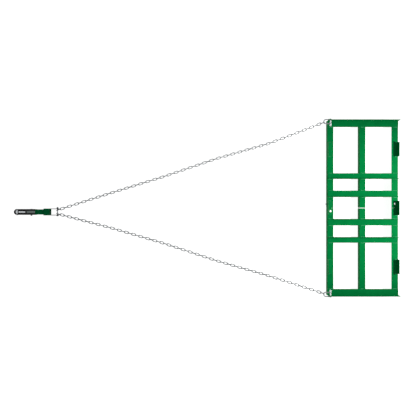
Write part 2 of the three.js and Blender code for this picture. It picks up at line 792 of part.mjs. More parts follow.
function addCoupler(tongue) {
  addPiece("coupler_housing", housingGeometry(), blackPaint, tongue);
  const boltGrip = couplerWidth + 2 * seat;
  const { bolt: roundBolt, nut: sideNut } = roundBoltAlongX(couplerBoltRadius, boltGrip, 1);
  for (const [name, geometry] of [["coupler_bolt", roundBolt], ["coupler_nut", sideNut]]) {
    const mesh = addPiece(name, geometry, zincPlate, tongue);
    mesh.rotation.z = -Math.PI / 2;
    mesh.position.set(couplerBoltX, couplerWidth / 2 + seat, 0);
  }
  addPiece("latch_lever", leverGeometry(), zincPlate, tongue);
  addPiece("lever_grip", gripGeometry(), blackPaint, tongue);
  addPiece("latch_pin", latchPinGeometry(), zincPlate, tongue);
  addPiece("ball_clamp", clampGeometry(), blackPaint, tongue);
  const clampTop = housingFoot + clampFootHeight + clampStemHeight;
  const nutFace = housingRoof + clampTravel + seat;
  const { bolt, nut } = hexBolt(clampBoltRadius, nutFace - clampTop + clampStemHeight, 0);
  for (const [name, geometry] of [["clamp_bolt", bolt], ["clamp_nut", nut]]) {
    const mesh = addPiece(name, geometry, zincPlate, tongue);
    mesh.rotation.y = -Math.PI / 2;
    mesh.position.set(clampX, 0, clampTop - clampStemHeight - seat);
  }
}

const tongue = new THREE.Group();
tongue.position.set(0, hitchOffset, clevisHeight);
drag.add(tongue);

sides.forEach(addCrossBars);
sides.forEach(addLongBars);
addShortAngles();
addStraps();
addShackles();
sides.forEach(addChain);
addClevis(tongue);
addTube(tongue);
addCoupler(tongue);

export default drag;
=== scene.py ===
import math
import random

import bmesh
import bpy
from mathutils import Matrix, Vector


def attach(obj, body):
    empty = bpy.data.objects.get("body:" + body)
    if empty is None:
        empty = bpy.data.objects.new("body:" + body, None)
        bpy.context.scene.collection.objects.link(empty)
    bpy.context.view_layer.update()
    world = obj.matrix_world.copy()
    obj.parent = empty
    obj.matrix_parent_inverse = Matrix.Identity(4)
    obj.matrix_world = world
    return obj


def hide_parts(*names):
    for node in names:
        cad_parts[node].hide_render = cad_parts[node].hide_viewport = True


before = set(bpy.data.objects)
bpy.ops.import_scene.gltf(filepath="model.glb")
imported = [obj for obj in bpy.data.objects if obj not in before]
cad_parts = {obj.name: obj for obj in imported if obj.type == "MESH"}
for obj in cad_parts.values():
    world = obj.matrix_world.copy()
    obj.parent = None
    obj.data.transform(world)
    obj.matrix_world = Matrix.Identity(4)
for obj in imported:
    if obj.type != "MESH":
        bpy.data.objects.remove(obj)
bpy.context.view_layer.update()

# Powder coat on angle iron: dry powder, sprayed on and baked to a smooth skin with a faint orange
# peel, a little darker where it lies thinner. In this soft light it hardly shines, so its
# specular level is far below that of a typical paint.
MM = 0.001
COAT_PEEL = 2.0
COAT_CLOUD = 60.0
COAT_SHINE = 0.01


def linear(hex_colour):
    """A colour picked as an sRGB hex value, turned to linear for the shader."""
    parts = [int(hex_colour[place : place + 2], 16) / 255 for place in (1, 3, 5)]
    bent = [part / 12.92 if part < 0.04045 else ((part + 0.055) / 1.055) ** 2.4 for part in parts]
    return (*bent, 1.0)


def add_node(owner, kind, settings=(), links=()):
    """One node: settings are (property or input, value), links are (input, from node, output)."""
    node = owner.node_tree.nodes.new(kind)
    for name, value in settings:
        if name in node.inputs:
            node.inputs[name].default_value = value
        else:
            setattr(node, name, value)
    for socket, source, output in links:
        owner.node_tree.links.new(source.outputs[output], node.inputs[socket])
    return node


def new_material(name):
    """An empty node material and its shader."""
    material = bpy.data.materials.new(name)
    material.use_nodes = True
    return material, material.node_tree.nodes["Principled BSDF"]


def set_shader(material, shader, settings, links=()):
    """Constants go on the shader's own sockets, links are (input, from node, output)."""
    for name, value in settings:
        shader.inputs[name].default_value = value
    for socket, source, output in links:
        material.node_tree.links.new(source.outputs[output], shader.inputs[socket])


def powder_coat(name, shade, deep_shade):
    """A fine peel in the skin, and a broad cloudiness in colour and gloss."""
    material, shader = new_material(name)
    place = add_node(material, "ShaderNodeTexCoord")
    cloud = add_node(
        material, "ShaderNodeTexNoise", [("Scale", 1 / (COAT_CLOUD * MM)), ("Detail", 3.0)],
        [("Vector", place, "Object")],
    )
    colour = add_node(material, "ShaderNodeValToRGB", (), [("Fac", cloud, "Fac")])
    colour.color_ramp.elements[0].position = 0.35
    colour.color_ramp.elements[0].color = linear(deep_shade)
    colour.color_ramp.elements[1].position = 0.65
    colour.color_ramp.elements[1].color = linear(shade)
    peel = add_node(
        material, "ShaderNodeTexNoise", [("Scale", 1 / (COAT_PEEL * MM)), ("Detail", 1.0)],
        [("Vector", place, "Object")],
    )
    skin = add_node(
        material, "ShaderNodeBump", [("Strength", 0.08), ("Distance", 0.3 * MM)],
        [("Height", peel, "Fac")],
    )
    gloss = add_node(
        material, "ShaderNodeMapRange",
        [("From Min", 0.3), ("From Max", 0.7), ("To Min", 0.4), ("To Max", 0.52)],
        [("Value", cloud, "Fac")],
    )
    set_shader(
        material, shader,
        [("IOR", 1.5), ("Specular IOR Level", COAT_SHINE)],
        [("Base Color", colour, "Color"), ("Normal", skin, "Normal"),
         ("Roughness", gloss, "Result")],
    )
    return material


green_coat = powder_coat("powder coat green baked", "#006831", "#00622e")

# Frame bars: hot rolled angle iron, sawn to length. The rolls leave a round inner corner and
# round toes, and a heel that is nearly sharp. The halves of the front and rear blades butt at the
# middle of the frame, those of the middle blade end 4 mm apart.
WALL = 5.0
TOE_SHARE = 0.6
HEEL_SHARE = 0.15
SEAT = 0.3
LENGTH = 3692.0
NUT_BEHIND = 9.6
FRAME_DEPTH = 676.0
REAR_X = LENGTH / 2 - NUT_BEHIND
FRONT_X = REAR_X - FRAME_DEPTH
MIDDLE_X = FRONT_X + 307.0
HALF_WIDTH = 838.0
DECK = 56.0
AXIS = {"x": Vector((1, 0, 0)), "y": Vector((0, 1, 0)), "z": Vector((0, 0, 1))}


def leave_all():
    """Object mode with nothing selected."""
    if bpy.context.object and bpy.context.object.mode != "OBJECT":
        bpy.ops.object.mode_set(mode="OBJECT")
    bpy.ops.object.select_all(action="DESELECT")


def settle(name):
    """The new primitive gets its name, and its place goes into its mesh."""
    piece = bpy.context.object
    bpy.ops.object.transform_apply(location=True, rotation=True, scale=True)
    piece.name = piece.data.name = name
    return piece


def add_block(name, low, high):
    """A block between two opposite corners in millimetres."""
    leave_all()
    middle = [(a + b) / 2 * MM for a, b in zip(low, high)]
    size = [abs(b - a) * MM for a, b in zip(low, high)]
    bpy.ops.mesh.primitive_cube_add(size=1, location=middle, scale=size)
    return settle(name)


def add_rod(name, radius, length, middle, axis="z", sides=32):
    leave_all()
    turn = {"z": (0, 0, 0), "x": (0, math.pi / 2, 0), "y": (math.pi / 2, 0, 0)}[axis]
    bpy.ops.mesh.primitive_cylinder_add(
        vertices=sides, radius=radius * MM, depth=length * MM,
        location=[value * MM for value in middle], rotation=turn,
    )
    return settle(name)


def pick(piece, mode, test):
    """Edit mode with only the faces, edges or vertices selected that pass the test."""
    if piece.mode != "EDIT":
        leave_all()
        piece.select_set(True)
        bpy.context.view_layer.objects.active = piece
        bpy.ops.object.mode_set(mode="EDIT")
    bpy.ops.mesh.select_all(action="DESELECT")
    bpy.ops.mesh.select_mode(type=mode)
    mesh = bmesh.from_edit_mesh(piece.data)
    parts = {"FACE": mesh.faces, "EDGE": mesh.edges, "VERT": mesh.verts}[mode]
    for part in parts:
        if test(part):
            part.select_set(True)
    mesh.select_flush_mode()
    bmesh.update_edit_mesh(piece.data)


def edge_middle(edge):
    return (edge.verts[0].co + edge.verts[1].co) / 2


def edge_runs(edge, way):
    run = (edge.verts[1].co - edge.verts[0].co).normalized()
    return abs(run.dot(way)) > 0.99


def extrude(way, length):
    bpy.ops.mesh.extrude_region_move(
        TRANSFORM_OT_translate={"value": way * length * MM}
    )


def smooth(piece, angle=35):
    """Faces that meet at less than the angle are shaded as one skin."""
    leave_all()
    piece.select_set(True)
    bpy.context.view_layer.objects.active = piece
    bpy.ops.object.shade_smooth_by_angle(angle=math.radians(angle))


def apply_modifier(piece, kind, **settings):
    """One modifier with its settings, worked into the mesh at once."""
    leave_all()
    piece.select_set(True)
    bpy.context.view_layer.objects.active = piece
    modifier = piece.modifiers.new(kind.title(), kind)
    for name, value in settings.items():
        setattr(modifier, name, value)
    bpy.ops.object.modifier_apply(modifier=modifier.name)


def bore(piece, *rods):
    """Each rod is cut out of the piece and then removed."""
    for rod in rods:
        apply_modifier(piece, "BOOLEAN", object=rod, operation="DIFFERENCE", solver="EXACT")
        bpy.data.objects.remove(rod)


def weld_on(piece, *others):
    """Each other mesh becomes one with the piece and is then removed."""
    for other in others:
        apply_modifier(piece, "BOOLEAN", object=other, operation="UNION", solver="EXACT")
        bpy.data.objects.remove(other)


def finish_piece(piece, material, body, nodes):
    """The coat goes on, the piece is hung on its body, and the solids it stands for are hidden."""
    piece.data.materials.clear()
    piece.data.materials.append(material)
    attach(piece, body)
    if nodes:
        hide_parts(*nodes)


def angle_iron(name, wall, heel, along, ends, flange_way, flange, leg_way, leg):
    """Heel at the given corner; the bar runs between the ends, in millimetres."""
    low = Vector(heel)
    low[along] = ends[0]
    high = Vector(heel) + (flange_way + leg_way) * wall
    high[along] = ends[1]
    bar = add_block(name, low, high)
    centre = (low + high) / 2 * MM
    pick(bar, "FACE", lambda face: face.normal.dot(flange_way) > 0.9)
    extrude(flange_way, flange - wall)
    pick(
        bar, "FACE",
        lambda face: face.normal.dot(leg_way) > 0.9
        and (face.calc_center_median() - centre).dot(flange_way) < wall * MM,
    )
    extrude(leg_way, leg - wall)
    run = Vector((0, 0, 0))
    run[along] = 1

    def at(out, up):
        corner = Vector(heel) * MM + (flange_way * out + leg_way * up) * MM

        def near(edge):
            gap = edge_middle(edge) - corner
            gap[along] = 0
            return edge_runs(edge, run) and gap.length < 0.1 * MM

        return near

    for place, radius, steps in [
        (at(wall, wall), wall, 4),
        (at(flange, wall), TOE_SHARE * wall, 3),
        (at(wall, leg), TOE_SHARE * wall, 3),
        (at(0, 0), HEEL_SHARE * wall, 2),
    ]:
        pick(bar, "EDGE", place)
        bpy.ops.mesh.bevel(offset=radius * MM, segments=steps, affect="EDGES")
    leave_all()
    return bar


SIDES = [("right", 1), ("left", -1)]
NARROW = 56.0
WIDE = 63.0
BLADES = [
    ("front_bar", FRONT_X, AXIS["x"], NARROW),
    ("middle_bar", MIDDLE_X, AXIS["x"], NARROW),
    ("rear_bar", REAR_X, -AXIS["x"], WIDE),
]
BUTT_GAP = 0.5
MIDDLE_GAP = 2.0
SPLICE_HOLE = 10.0
HOLE_INSET = 29.0
FRONT_HOLE = (FRONT_X + HOLE_INSET, -30.0, DECK)
REAR_HOLE = (REAR_X - HOLE_INSET, 41.0, DECK)
STRAP_BOLT_Y = 38.0
STRAP_BOLT_Z = 28.0
STRAP_BORE = 5.5
THROUGH = 30.0

for side, sign in SIDES:
    for blade, heel_x, way, flange in BLADES:
        name = blade + "_" + side
        gap = MIDDLE_GAP if blade == "middle_bar" else BUTT_GAP
        ends = sorted((sign * gap, sign * HALF_WIDTH))
        bar = angle_iron(
            name + "_rolled", WALL, (heel_x, 0, DECK), 1, ends, way, flange, -AXIS["z"], DECK
        )
        if name == "front_bar_left":
            bore(bar, add_rod("drill", SPLICE_HOLE, THROUGH, FRONT_HOLE))
        if name == "rear_bar_right":
            bore(bar, add_rod("drill", SPLICE_HOLE, THROUGH, REAR_HOLE))
        if sign > 0 and blade != "middle_bar":
            place = (heel_x, STRAP_BOLT_Y, STRAP_BOLT_Z)
            bore(bar, add_rod("drill", STRAP_BORE, THROUGH, place, "x"))
        smooth(bar)
        finish_piece(bar, green_coat, "frame", [name])

RUNNER_LEG = 50.0
RUNNER_INSET = 3.0
RUNNERS = [
    ("side_rail", HALF_WIDTH, -1, WIDE, WIDE, FRONT_X, REAR_X),
    ("inner_bar", 104.0, 1, WIDE, RUNNER_LEG, FRONT_X + RUNNER_INSET, REAR_X - RUNNER_INSET),
    ("outer_bar", 277.0, 1, NARROW, RUNNER_LEG, FRONT_X + RUNNER_INSET, REAR_X - RUNNER_INSET),
]
PIN = Vector((FRONT_X + 18.0, 0, DECK + SEAT + WALL + 34.0))
PIN_BORE = 7.5

for side, sign in SIDES:
    for runner, heel_y, way, flange, leg, low_x, high_x in RUNNERS:
        name = runner + "_" + side
        bar = angle_iron(
            name + "_rolled", WALL, (0, sign * heel_y, DECK + SEAT), 0, (low_x, high_x),
            AXIS["y"] * sign * way, flange, AXIS["z"], leg,
        )
        if runner == "side_rail":
            bore(bar, add_rod("drill", PIN_BORE, THROUGH, (PIN.x, sign * heel_y, PIN.z), "y"))
        smooth(bar)
        finish_piece(bar, green_coat, "frame", [name])

# Short upright angles: 38 mm angle iron, sheared to 138 mm. Four are lugs nearer the rails, welded
# down at both ends. Two splice the halves of the front and rear bars: each is welded to one half
# and has an open hole over the other.
SHORT_LENGTH = 138.0
SHORT_SIZE = 38.0
SHORT_WALL = 4.0
LUG_Y = 561.0
SHORT_PLACES = [("splice", 0.0)] + [("lug_" + side, sign * LUG_Y) for side, sign in SIDES]

for row, heel_x, way, hole in [
    ("front_", FRONT_X, AXIS["x"], FRONT_HOLE),
    ("rear_", REAR_X, -AXIS["x"], REAR_HOLE),
]:
    for kind, middle_y in SHORT_PLACES:
        ends = (middle_y - SHORT_LENGTH / 2, middle_y + SHORT_LENGTH / 2)
        short = angle_iron(
            row + kind + "_rolled", SHORT_WALL, (heel_x, 0, DECK + SEAT), 1, ends,
            way, SHORT_SIZE, AXIS["z"], SHORT_SIZE,
        )
        if kind == "splice":
            bore(short, add_rod("drill", SPLICE_HOLE, THROUGH, hole))
        smooth(short)
        finish_piece(short, green_coat, "frame", [row + kind])

# Splice straps: flat bars behind the blade legs that hold the two halves in line. Their corners
# are ground round, and each has one bolt, through the right-hand half.
STRAP_WALL = 6.0
STRAP_REACH = 70.0
STRAP_HEIGHT = 38.0
STRAP_ROUND = 6.0


def round_edges(piece, test, radius, steps):
    """The edges that pass the test get a round of the given radius in millimetres."""
    pick(piece, "EDGE", test)
    bpy.ops.mesh.bevel(offset=radius * MM, segments=steps, affect="EDGES")
    leave_all()


def ease(piece, width, steps=2, **limit):
    """Every sharp edge is broken, as a file or a tumbling drum does."""
    apply_modifier(
        piece, "BEVEL", width=width * MM, segments=steps, limit_method="ANGLE", **limit
    )


for row, face_x, way in [("front", FRONT_X, 1), ("rear", REAR_X, -1)]:
    near = face_x + way * (WALL + SEAT)
    top = DECK - 2 * WALL - SEAT
    strap = add_block(
        row + "_strap_flat",
        (near, -STRAP_REACH, top - STRAP_HEIGHT), (near + way * STRAP_WALL, STRAP_REACH, top),
    )
    round_edges(strap, lambda edge: edge_runs(edge, AXIS["x"]), STRAP_ROUND, steps=4)
    place = (near, STRAP_BOLT_Y, STRAP_BOLT_Z)
    bore(strap, add_rod("drill", STRAP_BORE, THROUGH, place, "x"))
    ease(strap, width=0.5)
    smooth(strap)
    finish_piece(strap, green_coat, "frame", [row + "_strap"])

# Weld beads: laid by hand along the crossings after the bars were clamped, so each bead is rippled
# and has rounded ends. The ripples are drawn about 4 mm apart, twice as coarse as real ones, so
# that they show. Their coat is a paler green than the frame's: a painted highlight along the
# beads, where they catch the light.
BEAD_LENGTH = 40.0
BEAD_RADIUS = 3.0
BEAD_STEPS = 20
BEAD_TIP = 0.35
BEAD_START = 0.45
BEAD_RISE = 4
RIPPLE = 0.84
BEAD_END = 8.0
LUG_BEAD = (4.0, 34.0)


def bead_pattern():
    """One bead along +X from the origin, with a wide and a narrow ring for each ripple."""
    leave_all()
    bpy.ops.mesh.primitive_circle_add(
        vertices=8, radius=BEAD_TIP * BEAD_RADIUS * MM, fill_type="NGON",
        rotation=(0, math.pi / 2, 0),
    )
    bead = settle("weld_pattern")
    bpy.ops.object.mode_set(mode="EDIT")
    bpy.ops.mesh.select_all(action="SELECT")
    before = BEAD_TIP
    for step in range(1, BEAD_STEPS + 1):
        share = step / BEAD_STEPS
        wave = 1.0 if step % 2 else RIPPLE
        size = wave * min(1.0, BEAD_START + BEAD_RISE * min(share, 1 - share))
        extrude(AXIS["x"], BEAD_LENGTH / BEAD_STEPS)
        centre = AXIS["x"] * BEAD_LENGTH * share * MM
        bpy.ops.transform.resize(value=[size / before] * 3, center_override=centre)
        before = size
    bpy.ops.mesh.select_all(action="SELECT")
    bpy.ops.mesh.normals_make_consistent(inside=False)
    leave_all()
    return bead


def lay_bead(pattern, beads, start, end, radius=BEAD_RADIUS):
    """A copy of the pattern, stretched between two points in millimetres."""
    run = Vector(end) - Vector(start)
    turn = run.to_track_quat("X", "Z").to_matrix().to_4x4()
    thick = radius / BEAD_RADIUS
    scale = Matrix.Diagonal((run.length / BEAD_LENGTH, thick, thick, 1))
    bead = pattern.copy()
    bead.data = pattern.data.copy()
    bead.data.transform(Matrix.Translation(Vector(start) * MM) @ turn @ scale)
    bpy.context.scene.collection.objects.link(bead)
    beads.append(bead)


def gather(name, parts):
    """Several meshes as one piece."""
    leave_all()
    for part in parts:
        part.select_set(True)
    bpy.context.view_layer.objects.active = parts[0]
    bpy.ops.object.join()
    parts[0].name = parts[0].data.name = name
    return parts[0]


# Weld beads get a paler green than the frame: a painted highlight where the beads catch the light.
weld_coat_painted_highlight = powder_coat("powder coat green pale as painted highlight on weld ripples", "#4b9a72", "#2f7f58")
pattern = bead_pattern()
deck_top = DECK + SEAT / 2
for side, sign in SIDES:
    beads = []
    for runner, heel_y, way, flange, leg, low_x, high_x in RUNNERS:
        near_y = sign * heel_y
        far_y = sign * (heel_y + way * flange)
        for blade, heel_x, blade_way, blade_flange in BLADES:
            span = sorted((heel_x, heel_x + blade_way.x * blade_flange))
            low = max(span[0] + BEAD_END, low_x + BEAD_END / 2)
            high = min(span[1] - BEAD_END, high_x - BEAD_END / 2)
            lay_bead(pattern, beads, (low, far_y, deck_top), (high, far_y, deck_top))
            if runner != "side_rail":
                lay_bead(pattern, beads, (low, near_y, deck_top), (high, near_y, deck_top))
    for heel_x, way in [(FRONT_X, 1), (REAR_X, -1)]:
        low, high = (heel_x + way * reach for reach in LUG_BEAD)
        for end in (-1, 1):
            y = sign * LUG_Y + end * SHORT_LENGTH / 2
            lay_bead(pattern, beads, (low, y, deck_top), (high, y, deck_top))
    welds = gather("weld_beads_" + side, beads)
    smooth(welds, angle=60)
    finish_piece(welds, weld_coat_painted_highlight, "frame", [])

beads = []
for heel_x, way, y in [(FRONT_X, 1, SHORT_LENGTH / 2), (REAR_X, -1, -SHORT_LENGTH / 2)]:
    low, high = (heel_x + way * reach for reach in LUG_BEAD)
    lay_bead(pattern, beads, (low, y, deck_top), (high, y, deck_top))
splice_welds = gather("weld_beads_splices", beads)
smooth(splice_welds, angle=60)
finish_piece(splice_welds, weld_coat_painted_highlight, "frame", [])
bpy.data.objects.remove(pattern)

# Zinc plate on forged and cold headed steel: a thin bright layer, slightly blue and cloudy, over
# a surface that still shows the grain of the blasted steel. The grain is drawn 0.5 to 0.8 mm
# across, a little coarser than it is, so that it shows from near by.
ZINC_CLOUD = 12.0


def zinc_plate(name, shade, deep_shade, grain, roughness):
    """Zinc plate over steel whose blasted grain is given in millimetres."""
    material, shader = new_material(name)
    place = add_node(material, "ShaderNodeTexCoord")
    cloud = add_node(
        material, "ShaderNodeTexNoise", [("Scale", 1 / (ZINC_CLOUD * MM)), ("Detail", 4.0)],
        [("Vector", place, "Object")],
    )
    colour = add_node(material, "ShaderNodeValToRGB", (), [("Fac", cloud, "Fac")])
    colour.color_ramp.elements[0].position = 0.3
    colour.color_ramp.elements[0].color = linear(deep_shade)
    colour.color_ramp.elements[1].position = 0.7
    colour.color_ramp.elements[1].color = linear(shade)
    blast = add_node(
        material, "ShaderNodeTexNoise", [("Scale", 1 / (grain * MM)), ("Detail", 2.0)],
        [("Vector", place, "Object")],
    )
    skin = add_node(
        material, "ShaderNodeBump", [("Strength", 0.15), ("Distance", 0.2 * MM)],
        [("Height", blast, "Fac")],
    )
    set_shader(
        material, shader, [("Metallic", 0.9), ("Roughness", roughness)],
        [("Base Color", colour, "Color"), ("Normal", skin, "Normal")],
    )
    return material


bright_zinc = zinc_plate("steel zinc plated bright", "#b4b7b8", "#94989a", 0.5, 0.32)
chain_zinc = zinc_plate("chain steel zinc plated", "#8d9091", "#717576", 0.6, 0.36)

# Bolts and nuts: cold headed hexagons with their corners turned down, and one low round head. The
# sizes of head and nut are shares of the bolt's radius, and the thread is cut as rings.
HEX_SHARE = 1.8
CHAMFER_SHARE = 0.16
HEAD_SHARE = 1.3
NUT_SHARE = 1.6
SHANK_SHARE = 0.985
TAP_SHARE = 1.04
THREAD_PITCH = 1.75
THREAD_ROOT = 0.9
TURNING_SHARE = 0.99
TURNING_OVERRUN = 1.02
DOME_HEIGHT = 3.0
DOME_ROUND = 2.6
SHANK_ROOT = 1.0


def hexagon(name, radius, height, middle):
    """A hexagon along X with its six outer corners turned down on both faces."""
    block = add_rod(name, HEX_SHARE * radius, height, middle, "x", 6)
    round_over = HEX_SHARE * radius * TURNING_SHARE
    cone = add_rod("turning", round_over, height * TURNING_OVERRUN, middle, "x")
    ease(cone, CHAMFER_SHARE * radius, steps=1)
    apply_modifier(block, "BOOLEAN", object=cone, operation="INTERSECT", solver="EXACT")
    bpy.data.objects.remove(cone)
    return block


def threaded_rod(name, radius, low, high, thread):
    """A shank along X whose last stretch carries the thread."""
    rod = add_rod(name, radius, high - low - thread, ((low + high - thread) / 2, 0, 0), "x", 20)
    pick(rod, "FACE", lambda face: face.normal.x > 0.9)
    count = max(2, round(thread / THREAD_PITCH))
    for step in range(count):
        for share in (THREAD_ROOT, 1 / THREAD_ROOT):
            end = high - thread + thread * (step + (0.5 if share < 1 else 1)) / count
            extrude(AXIS["x"], thread / count / 2)
            bpy.ops.transform.resize(value=[share] * 3, center_override=AXIS["x"] * end * MM)
    leave_all()
    return rod


def bolt_pair(bolt_node, nut_node, radius, grip, place, turn, showing, body, domed=False):
    """The bolt points along X from the underside of its head, before it is turned into place."""
    head_height = DOME_HEIGHT if domed else HEAD_SHARE * radius
    head_middle = (-head_height / 2, 0, 0)
    nut_height = NUT_SHARE * radius
    length = grip + nut_height + showing
    if domed:
        head = add_rod(bolt_node + "_domed", HEX_SHARE * radius, head_height, head_middle, "x")
        top = (0.1 - DOME_HEIGHT) * MM
        round_edges(
            head, lambda edge: max(v.co.x for v in edge.verts) < top, DOME_ROUND, steps=4
        )
    else:
        head = hexagon(bolt_node + "_hex", radius, head_height, head_middle)
    shank = threaded_rod(
        "shank", SHANK_SHARE * radius, -SHANK_ROOT, length, nut_height + showing
    )
    weld_on(head, shank)
    nut = hexagon(nut_node + "_hex", radius, nut_height, (grip + SEAT + nut_height / 2, 0, 0))
    bore(nut, add_rod("tap", TAP_SHARE * radius, THROUGH, (grip, 0, 0), "x", 20))
    move = Matrix.Translation(Vector(place) * MM) @ turn
    for piece, node in ((head, bolt_node), (nut, nut_node)):
        piece.data.transform(move)
        smooth(piece, angle=30)
        finish_piece(piece, bright_zinc, body, [node])


STRAP_BOLT = 5.0
for row, face_x, way, showing in [("front", FRONT_X, 1, 4.0), ("rear", REAR_X, -1, 1.0)]:
    grip = WALL + SEAT + STRAP_WALL
    place = (face_x + way * (grip + SEAT), STRAP_BOLT_Y, STRAP_BOLT_Z)
    turn = Matrix.Rotation(math.pi if way > 0 else 0, 4, "Z")
    bolt_pair(
        row + "_strap_bolt", row + "_strap_nut", STRAP_BOLT, grip + 2 * SEAT,
        place, turn, showing, "frame",
    )

# Anchor shackles: a 10 mm bar forged to a U with flat eyes, and a turned pin with a collar that
# goes through the side rail. The pin's flat head has a hole to turn it with. Its plate is satin,
# and looks nearly white beside the bright bow.
SHACKLE_WIRE = 10.0
SHACKLE_REACH = 63.0
SHACKLE_MOUTH = 30.0
SHACKLE_BOW = (SHACKLE_MOUTH + SHACKLE_WIRE) / 2
SHACKLE_EYE = 10.5
EYE_BORE = 7.0
EYE_SET = 5.0
BOW_STEPS = 20
SHACKLE_Y = HALF_WIDTH + SEAT - SHACKLE_MOUTH / 2
SHACKLE_TILT = math.radians(20)
PIN_RADIUS = 6.5
PIN_ROOT = 2.0
PIN_COLLAR = 9.0
COLLAR_WALL = 4.5
HEAD_WALL = 5.0
HEAD_SET = 0.85
HEAD_HOLE = 3.5

satin_zinc = zinc_plate("steel zinc plated satin", "#f6f8f8", "#e6e9ea", 0.5, 0.8)


def wire_along(name, points, radius, sides=16):
    """A round bar along points in millimetres: a ring at each point, closed at both ends."""
    leave_all()
    bpy.ops.mesh.primitive_circle_add(vertices=sides, radius=radius * MM, fill_type="NGON")
    wire = settle(name)
    points = [Vector(point) for point in points]
    first = (points[1] - points[0]).normalized()
    turn = Vector((0, 0, 1)).rotation_difference(first)
    wire.data.transform(Matrix.Translation(points[0] * MM) @ turn.to_matrix().to_4x4())
    bpy.ops.object.mode_set(mode="EDIT")
    bpy.ops.mesh.select_all(action="SELECT")
    heading = first
    for index in range(1, len(points)):
        step = points[index] - points[index - 1]
        extrude(step, 1)
        onward = points[min(index + 1, len(points) - 1)] - points[index]
        leaving = onward.normalized() if onward.length else step.normalized()
        middle = (step.normalized() + leaving).normalized()
        swing = heading.rotation_difference(middle).to_matrix()
        mesh = bmesh.from_edit_mesh(wire.data)
        centre = points[index] * MM
        for vert in mesh.verts:
            if vert.select:
                vert.co = centre + swing @ (vert.co - centre)
        bmesh.update_edit_mesh(wire.data)
        heading = middle
    bpy.ops.mesh.select_all(action="SELECT")
    bpy.ops.mesh.normals_make_consistent(inside=False)
    leave_all()
    return wire


def bow_points():
    """The middle line of the forged U, from eye to eye."""
    arc_x = -(SHACKLE_REACH - SHACKLE_BOW)
    points = [(-EYE_SET, SHACKLE_BOW, 0)]
    for step in range(BOW_STEPS + 1):
        angle = math.pi * (0.5 - step / BOW_STEPS)
        points.append(
            (arc_x - SHACKLE_BOW * math.cos(angle), SHACKLE_BOW * math.sin(angle), 0)
        )
    return points + [(-EYE_SET, -SHACKLE_BOW, 0)]


for side, sign in SIDES:
    bow = wire_along("shackle_bow_" + side + "_forged", bow_points(), SHACKLE_WIRE / 2)
    for way in (-1, 1):
        eye = add_rod("eye", SHACKLE_EYE, SHACKLE_WIRE, (0, way * SHACKLE_BOW, 0), "y")
        ease(eye, width=2, steps=3)
        weld_on(bow, eye)
    outside = SHACKLE_MOUTH / 2 + SHACKLE_WIRE
    bore(bow, add_rod("drill", EYE_BORE, 2 * outside + THROUGH, (0, 0, 0), "y"))
    pin = add_rod(
        "shackle_pin_" + side + "_turned", PIN_RADIUS, 2 * outside + PIN_ROOT,
        (0, -PIN_ROOT / 2, 0), "y",
    )
    ease(pin, width=1)
    collar_y = -outside - SEAT - COLLAR_WALL / 2
    collar = add_rod("collar", PIN_COLLAR, COLLAR_WALL, (0, collar_y, 0), "y")
    ease(collar, width=1, steps=3)
    head_y = -outside - SEAT - COLLAR_WALL - HEAD_SET * PIN_COLLAR
    head = add_rod("head", PIN_COLLAR, HEAD_WALL, (0, head_y, 0), "z")
    ease(head, width=1.2, steps=3)
    weld_on(pin, collar, head)
    bore(pin, add_rod("drill", HEAD_HOLE, THROUGH, (0, head_y, 0), "z"))
    if sign < 0:
        pin.data.transform(Matrix.Rotation(math.pi, 4, "X"))
    place = Vector((PIN.x, sign * SHACKLE_Y, PIN.z)) * MM
    move = Matrix.Translation(place) @ Matrix.Rotation(-SHACKLE_TILT, 4, "Y")
    for piece, node, zinc in (
        (bow, "shackle_bow_" + side, bright_zinc), (pin, "shackle_pin_" + side, satin_zinc),
    ):
        piece.data.transform(move)
        smooth(piece, angle=40)
        finish_piece(piece, zinc, "bridle_1", [node])

# Bridle chains: 75 electrically welded links a side, each turned a quarter against the next.
# The wire is 7.2 mm thick, and the links lie slightly rolled, as slack chain does. The first link
# has slid round the bow of its shackle, in line with the pull.
LINK_WIRE = 7.2
LINK_INNER = 14.4
LINK_RADIUS = (LINK_INNER + LINK_WIRE) / 2
LINK_ROLL = 7
LINKS = 15
ZONES = 5
TIP = -LENGTH / 2
COUPLER_LENGTH = 203.0
TUBE_SHOWING = 84.0
SLEEVE_LENGTH = 54.0
SLEEVE_END = TIP + COUPLER_LENGTH + TUBE_SHOWING + SLEEVE_LENGTH
HITCH_Y = -38.0
CLEVIS = Vector((SLEEVE_END + 71.0, HITCH_Y, 33.0))
CLEVIS_RADIUS = 6.0
LAST_LINK_Y = 16.0
CHAIN_REST = LINK_RADIUS + LINK_WIRE / 2
BOWS = {"right": [0, 25, 5, 11, 2, 0], "left": [0, 8, 3, 19, 16, 0]}
SLIP = math.radians(20)
RIDE = SHACKLE_BOW - SHACKLE_WIRE / 2 - 1.2
REACH = SHACKLE_REACH - SHACKLE_BOW + RIDE * math.cos(SLIP)


def link_pattern():
    """One link along X with no straight stretch yet: a ring whose halves are moved apart."""
    leave_all()
    bpy.ops.mesh.primitive_torus_add(
        major_radius=LINK_RADIUS * MM, minor_radius=LINK_WIRE / 2 * MM,
        major_segments=16, minor_segments=8, rotation=(0, 0, math.pi / 16),
    )
    return settle("link_pattern")


def chain_corners(side, sign):
    """Where the runs of one chain meet, each moved sideways by as much as the photo shows."""
    start_x = PIN.x - REACH * math.cos(SHACKLE_TILT)
    end_x = CLEVIS.x - CLEVIS_RADIUS - SEAT
    start_y = sign * (SHACKLE_Y - RIDE * math.sin(SLIP))
    end_y = HITCH_Y + sign * LAST_LINK_Y
    start_z = PIN.z - REACH * math.sin(SHACKLE_TILT)
    heights = [start_z, CHAIN_REST, CHAIN_REST, CHAIN_REST, CHAIN_REST, CLEVIS.z]
    corners = []
    for index, height in enumerate(heights):
        share = index / ZONES
        y = start_y + (end_y - start_y) * share - sign * BOWS[side][index]
        corners.append(Vector((start_x + (end_x - start_x) * share, y, height)))
    return corners


